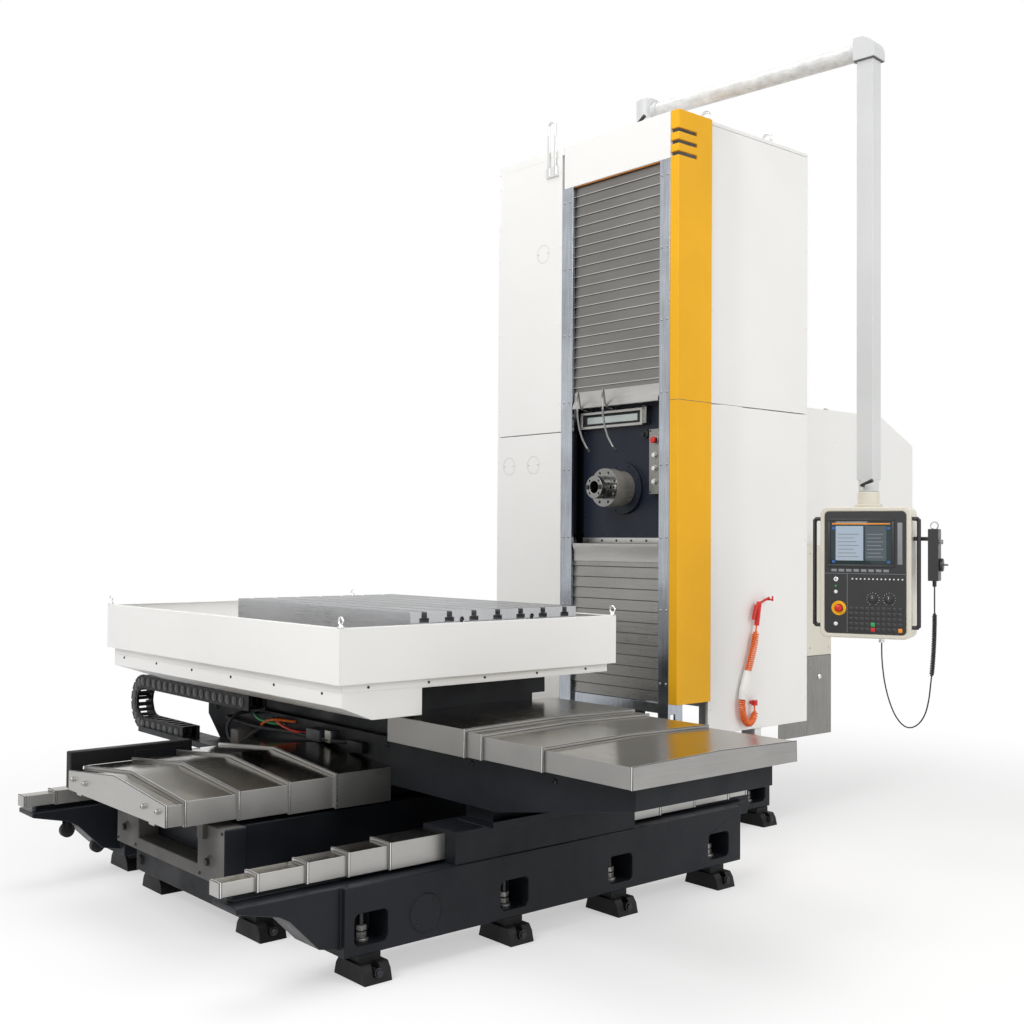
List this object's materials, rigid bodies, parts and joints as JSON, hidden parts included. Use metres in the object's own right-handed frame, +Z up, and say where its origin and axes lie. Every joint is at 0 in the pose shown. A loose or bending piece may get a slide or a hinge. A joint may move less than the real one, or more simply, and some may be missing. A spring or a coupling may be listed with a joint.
{
  "type": "horizontal boring machine",
  "caption": "Horizontal boring machine: headstock on a covered column, cross table on a saddle, telescopic way covers and a swinging operator pendant.",
  "frame": {"origin": "middle of the machine on the floor", "axes": "+Z up, +Y from the front of the bed to the column, +X along the table travel"},
  "size_m": [3.7665, 5.66, 4.2703],
  "materials": {
    "casting": "satin",
    "steel": "brushed",
    "ivory": "satin",
    "navy": "satin",
    "black": "satin",
    "yellow": "satin",
    "machined": "ground",
    "motor": "satin",
    "chrome": "polished",
    "cream": "satin",
    "red": "gloss",
    "plastic": "matte",
    "white_plastic": "gloss",
    "orange": "gloss"
  },
  "bodies": {
    "base": {"bed": "casting", "outriggers": "casting", "levelling_feet": "black", "z_drive": "motor", "column": "casting", "y_drive": "motor", "column_front_panel": "ivory", "column_side_panels": "ivory", "top_cover": "ivory", "corner_trim": "yellow", "guide_strips": "steel", "lifting_eyes": "chrome", "rear_trunk": "cream", "z_cover_ends": "steel", "upper_apron": "steel", "lower_apron": "steel", "air_gun": "red", "air_hose": "orange", "arm_base": "ivory"},
    "z_screw": {"z_screw": "steel"},
    "y_screw": {"y_screw": "steel"},
    "x_screw": {"x_screw": "steel"},
    "saddle": {"saddle": "casting", "x_drive": "motor", "z_cover_saddle": "steel", "x_cover_ends": "steel"},
    "front_cover_2": {"z_front_cover_2": "steel"},
    "front_cover_3": {"z_front_cover_3": "steel"},
    "front_cover_4": {"z_front_cover_4": "steel"},
    "rear_cover_2": {"z_rear_cover_2": "steel"},
    "rear_cover_3": {"z_rear_cover_3": "steel"},
    "cross_cover_2": {"x_cover_2": "steel"},
    "cross_cover_3": {"x_cover_3": "steel"},
    "chain": {"cable_chain": "plastic"},
    "table": {"cross_slide": "casting", "table": "machined", "tray": "ivory", "x_cover_inner": "steel"},
    "headstock": {"headstock": "navy", "work_lamp": "steel", "coolant_nozzles": "steel", "tail_hood": "ivory", "spindle_drive": "motor"},
    "spindle": {"milling_spindle": "steel"},
    "bar": {"boring_bar": "steel"},
    "headstock_stop": {"headstock_stop": "red"},
    "start_button": {"start_button": "white_plastic"},
    "hold_button": {"hold_button": "white_plastic"},
    "jog_button": {"jog_button": "white_plastic"},
    "arm_lever": {"arm_lever": "plastic"},
    "arm": {"pendant_arm": "ivory"},
    "swivel_lever": {"swivel_lever": "plastic"},
    "pendant": {"pendant_box": "cream", "pendant_panel": "plastic", "handwheel_unit": "plastic", "pendant_cord": "plastic"},
    "pendant_stop": {"pendant_stop": "red"},
    "feed_dial": {"feed_dial": "plastic"},
    "speed_dial": {"speed_dial": "plastic"},
    "handwheel": {"handwheel": "plastic"}
  },
  "joints": [
    {"name": "z_slide", "type": "slide", "parent": "base", "child": "saddle", "axis": [0, 1, 0], "range_m": [-0.35, 0.4]},
    {"name": "x_slide", "type": "slide", "parent": "saddle", "child": "table", "axis": [1, 0, 0], "range_m": [-0.05, 0.82]},
    {"name": "y_slide", "type": "slide", "parent": "base", "child": "headstock", "axis": [0, 0, 1], "range_m": [-0.5, 0.85], "deforming": ["upper_apron", "lower_apron"]},
    {"name": "front_cover_2_slide", "type": "slide", "parent": "base", "child": "front_cover_2", "axis": [0, 1, 0], "range_m": [-0.0535, 0.061]},
    {"name": "front_cover_3_slide", "type": "slide", "parent": "base", "child": "front_cover_3", "axis": [0, 1, 0], "range_m": [-0.148, 0.169]},
    {"name": "front_cover_4_slide", "type": "slide", "parent": "base", "child": "front_cover_4", "axis": [0, 1, 0], "range_m": [-0.246, 0.281]},
    {"name": "rear_cover_2_slide", "type": "slide", "parent": "base", "child": "rear_cover_2", "axis": [0, 1, 0], "range_m": [-0.1165, 0.133]},
    {"name": "rear_cover_3_slide", "type": "slide", "parent": "base", "child": "rear_cover_3", "axis": [0, 1, 0], "range_m": [-0.246, 0.281]},
    {"name": "cross_cover_2_slide", "type": "slide", "parent": "saddle", "child": "cross_cover_2", "axis": [1, 0, 0], "range_m": [-0.026, 0.411]},
    {"name": "cross_cover_3_slide", "type": "slide", "parent": "saddle", "child": "cross_cover_3", "axis": [1, 0, 0], "range_m": [-0.046, 0.739]},
    {"name": "chain_slide", "type": "slide", "parent": "saddle", "child": "chain", "axis": [1, 0, 0], "range_m": [-0.026, 0.411]},
    {"name": "z_screw_turn", "type": "hinge", "parent": "base", "child": "z_screw", "pos_m": [-0.1975, -1.27, 0.515], "axis": [0, 1, 0], "range_deg": [-7885, 9010]},
    {"name": "x_screw_turn", "type": "hinge", "parent": "saddle", "child": "x_screw", "pos_m": [-0.1975, -1.31, 0.804], "axis": [1, 0, 0], "range_deg": [-1135, 18460]},
    {"name": "y_screw_turn", "type": "hinge", "parent": "base", "child": "y_screw", "pos_m": [-0.6375, 0.705, 2], "axis": [0, 0, 1], "range_deg": [-11260, 19135]},
    {"name": "spindle_turn", "type": "hinge", "parent": "headstock", "child": "spindle", "pos_m": [-0.1975, 0.23, 1.955], "axis": [0, -1, 0], "continuous": true},
    {"name": "bar_feed", "type": "slide", "parent": "spindle", "child": "bar", "axis": [0, -1, 0], "range_m": [0, 0.5]},
    {"name": "headstock_stop_press", "type": "slide", "parent": "headstock", "child": "headstock_stop", "axis": [0, 1, 0], "range_m": [0, 0.005], "stiffness_N_per_m": 1500},
    {"name": "start_button_press", "type": "slide", "parent": "headstock", "child": "start_button", "axis": [0, 1, 0], "range_m": [0, 0.005], "stiffness_N_per_m": 1500},
    {"name": "hold_button_press", "type": "slide", "parent": "headstock", "child": "hold_button", "axis": [0, 1, 0], "range_m": [0, 0.005], "stiffness_N_per_m": 1500},
    {"name": "jog_button_press", "type": "slide", "parent": "headstock", "child": "jog_button", "axis": [0, 1, 0], "range_m": [0, 0.005], "stiffness_N_per_m": 1500},
    {"name": "arm_lever_turn", "type": "hinge", "parent": "base", "child": "arm_lever", "pos_m": [-0.1975, 0.38, 4.1], "axis": [0, 1, 0], "range_deg": [-40, 40]},
    {"name": "arm_swing", "type": "hinge", "parent": "base", "child": "arm", "pos_m": [-0.1975, 0.5, 4.2], "axis": [0, 0, 1], "range_deg": [-35, 20]},
    {"name": "swivel_lever_turn", "type": "hinge", "parent": "arm", "child": "swivel_lever", "pos_m": [1.24045, 0.56061, 1.94], "axis": [-0.0976, 0.9952, 0], "range_deg": [-40, 40]},
    {"name": "pendant_swivel", "type": "hinge", "parent": "arm", "child": "pendant", "pos_m": [1.23264, 0.64023, 1.88], "axis": [0, 0, 1], "range_deg": [-60, 60]},
    {"name": "pendant_stop_press", "type": "slide", "parent": "pendant", "child": "pendant_stop", "axis": [-0.3843, 0.9232, 0], "range_m": [0, 0.006], "stiffness_N_per_m": 1500},
    {"name": "feed_dial_turn", "type": "hinge", "parent": "pendant", "child": "feed_dial", "pos_m": [1.308, 0.56328, 1.365], "axis": [0.3843, -0.9232, 0], "range_deg": [-150, 150]},
    {"name": "speed_dial_turn", "type": "hinge", "parent": "pendant", "child": "speed_dial", "pos_m": [1.38186, 0.59402, 1.365], "axis": [0.3843, -0.9232, 0], "range_deg": [-150, 150]},
    {"name": "handwheel_turn", "type": "hinge", "parent": "pendant", "child": "handwheel", "pos_m": [1.55769, 0.77011, 1.54], "axis": [0.9232, 0.3843, 0], "continuous": true}
  ],
  "couplings": [
    {"joint": "front_cover_2_slide", "follows": "z_slide", "ratio": 0.15},
    {"joint": "front_cover_3_slide", "follows": "z_slide", "ratio": 0.42},
    {"joint": "front_cover_4_slide", "follows": "z_slide", "ratio": 0.7},
    {"joint": "rear_cover_2_slide", "follows": "z_slide", "ratio": 0.33},
    {"joint": "rear_cover_3_slide", "follows": "z_slide", "ratio": 0.7},
    {"joint": "cross_cover_2_slide", "follows": "x_slide", "ratio": 0.5},
    {"joint": "cross_cover_3_slide", "follows": "x_slide", "ratio": 0.9},
    {"joint": "chain_slide", "follows": "x_slide", "ratio": 0.5},
    {"joint": "z_screw_turn", "follows": "z_slide", "rad_per_m": 392.7},
    {"joint": "x_screw_turn", "follows": "x_slide", "rad_per_m": 392.7},
    {"joint": "y_screw_turn", "follows": "y_slide", "rad_per_m": 392.7}
  ]
}
